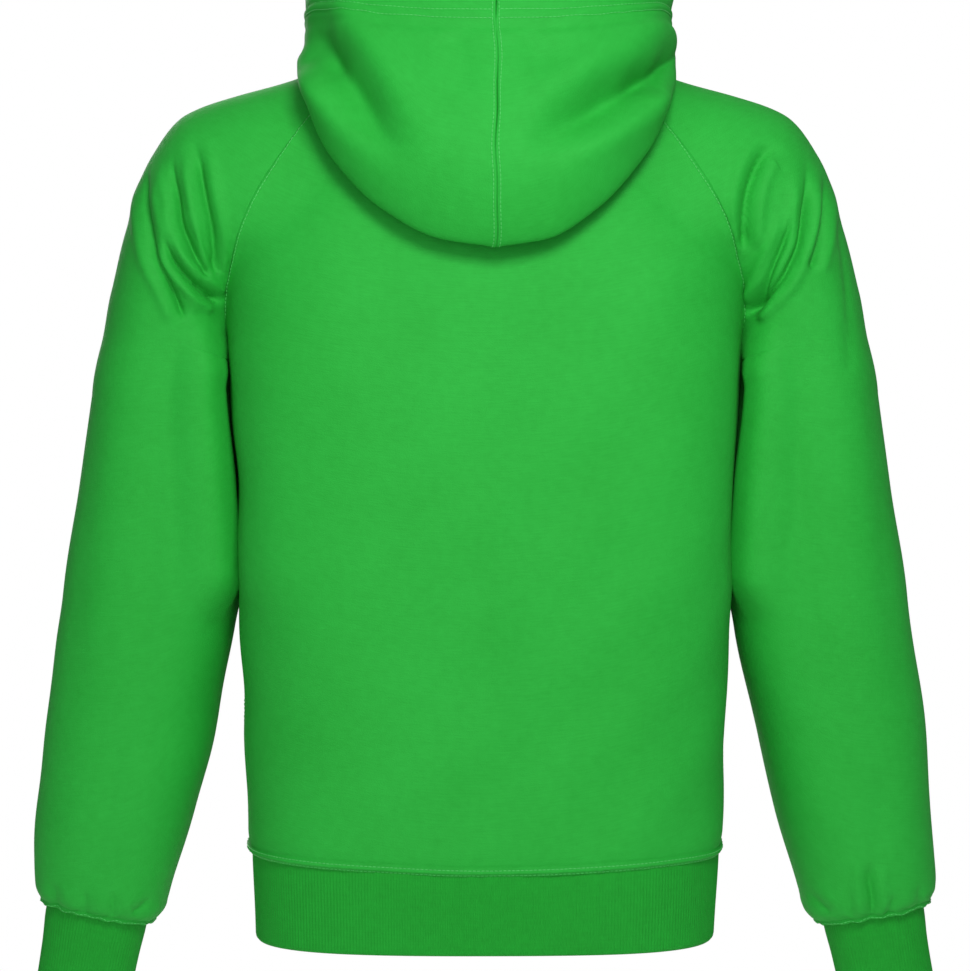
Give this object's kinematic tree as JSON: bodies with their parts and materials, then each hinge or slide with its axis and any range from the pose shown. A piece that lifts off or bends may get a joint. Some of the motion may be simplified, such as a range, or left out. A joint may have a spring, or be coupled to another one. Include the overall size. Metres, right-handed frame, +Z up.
{
  "type": "zip-up hoodie",
  "caption": "Hooded fleece jacket with raglan sleeves, full front zip, rib cuffs and waistband, filled out as if worn, hood down on the back.",
  "frame": {"origin": "middle of the neck opening at the height of the shoulder points, where the wearer holds it up", "axes": "+Z up the wearer, +X to the wearer's left, the front faces -Y"},
  "size_m": [0.71, 0.3063, 0.7871],
  "materials": {
    "fleece": "brushed sweatshirt fleece, matt, smooth jersey face",
    "rib": "fine vertical rib knit, matt",
    "tape": "woven zip tape, matt",
    "zip_teeth": "moulded plastic teeth, satin",
    "metal": "nickel-plated, satin"
  },
  "bodies": {
    "garment": {"back": "fleece", "front_left": "fleece", "front_right": "fleece", "sleeve_left": "fleece", "sleeve_right": "fleece", "hood_left": "fleece", "hood_right": "fleece", "cuff_left": "rib", "cuff_right": "rib", "waistband": "rib", "zip_tape_left": "tape", "zip_tape_right": "tape", "zip_chain": "zip_teeth", "zip_stop_left": "zip_teeth", "zip_stop_right": "zip_teeth", "zip_box": "zip_teeth", "zip_slider": "metal"},
    "pull": {"zip_pull": "metal"}
  },
  "joints": [
    {"name": "pull_hinge", "type": "hinge", "parent": "garment", "child": "pull", "pos_m": [0, -0.09543, -0.07887], "axis": [-1, 0, 0], "range_deg": [0, 130]}
  ]
}
